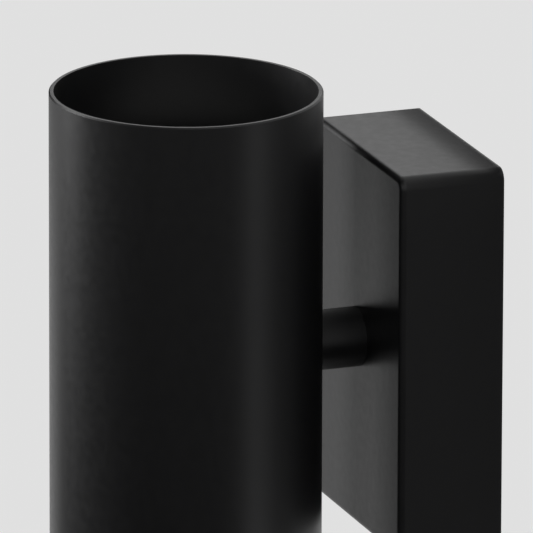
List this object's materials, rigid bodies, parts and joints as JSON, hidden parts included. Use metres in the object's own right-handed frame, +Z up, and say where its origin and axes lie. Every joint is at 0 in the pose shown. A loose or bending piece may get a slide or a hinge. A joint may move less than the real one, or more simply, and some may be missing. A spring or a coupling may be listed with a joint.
{
  "type": "wall light",
  "caption": "Black up-and-down wall light: a round open tube held off a rectangular wall box by a short round arm.",
  "frame": {"origin": "middle of the wall bracket's pair of screw slots, in the plane of the wall, on the arm's axis", "axes": "+Z up along the tube, +Y into the wall, so the tube stands out towards -Y, and +X to the right seen from in front"},
  "size_m": [0.09, 0.141, 0.18],
  "materials": {
    "black_powder_coat": "satin black powder coat on aluminium and steel",
    "zinc_plated_steel": "bright zinc plating",
    "tinned_copper": "tinned",
    "sprung_brass": "plain brass",
    "white_ceramic": "unglazed steatite ceramic",
    "lamp_shell": "moulded white lamp housing",
    "lamp_lens": "frosted diffuser",
    "nickel_plated_pins": "nickel plated",
    "natural_polyamide": "natural moulded polyamide",
    "brown_silicone": "silicone insulation",
    "blue_silicone": "silicone insulation",
    "green_yellow_pvc": "PVC insulation, green with a yellow stripe"
  },
  "bodies": {
    "wall_bracket": {"wall_bracket": "zinc_plated_steel", "cover_screws": "zinc_plated_steel", "bracket_earth_screw": "zinc_plated_steel"},
    "light": {"tube": "black_powder_coat", "arm": "black_powder_coat", "wall_box": "black_powder_coat", "threaded_rod": "zinc_plated_steel", "box_washer": "zinc_plated_steel", "box_nut": "zinc_plated_steel", "saddle_washer": "zinc_plated_steel", "tube_nut": "zinc_plated_steel", "rod_bushes": "natural_polyamide", "lampholder_strip": "zinc_plated_steel", "upper_lampholder": "white_ceramic", "lower_lampholder": "white_ceramic", "upper_contacts": "sprung_brass", "lower_contacts": "sprung_brass", "lampholder_screws": "zinc_plated_steel", "lampholder_nuts": "zinc_plated_steel", "terminal_block": "natural_polyamide", "terminal_clamps": "sprung_brass", "terminal_screws": "zinc_plated_steel", "block_screw": "zinc_plated_steel", "earth_tag": "tinned_copper", "earth_screw": "zinc_plated_steel", "upper_live_lead": "brown_silicone", "upper_neutral_lead": "blue_silicone", "lower_live_lead": "brown_silicone", "lower_neutral_lead": "blue_silicone", "earth_lead": "green_yellow_pvc"},
    "upper_lamp": {"upper_lamp_body": "lamp_shell", "upper_lamp_lens": "lamp_lens", "upper_lamp_pins": "nickel_plated_pins"},
    "lower_lamp": {"lower_lamp_body": "lamp_shell", "lower_lamp_lens": "lamp_lens", "lower_lamp_pins": "nickel_plated_pins"}
  },
  "joints": [
    {"name": "light_lift_off", "type": "slide", "parent": "wall_bracket", "child": "light", "axis": [0, -1, 0], "range_m": [0, 0.04]},
    {"name": "upper_lamp_twist", "type": "hinge", "parent": "light", "child": "upper_lamp", "pos_m": [0, -0.096, 0.01675], "axis": [0, 0, 1], "range_deg": [0, 30]},
    {"name": "lower_lamp_twist", "type": "hinge", "parent": "light", "child": "lower_lamp", "pos_m": [0, -0.096, -0.01675], "axis": [0, 0, -1], "range_deg": [0, 30]}
  ]
}
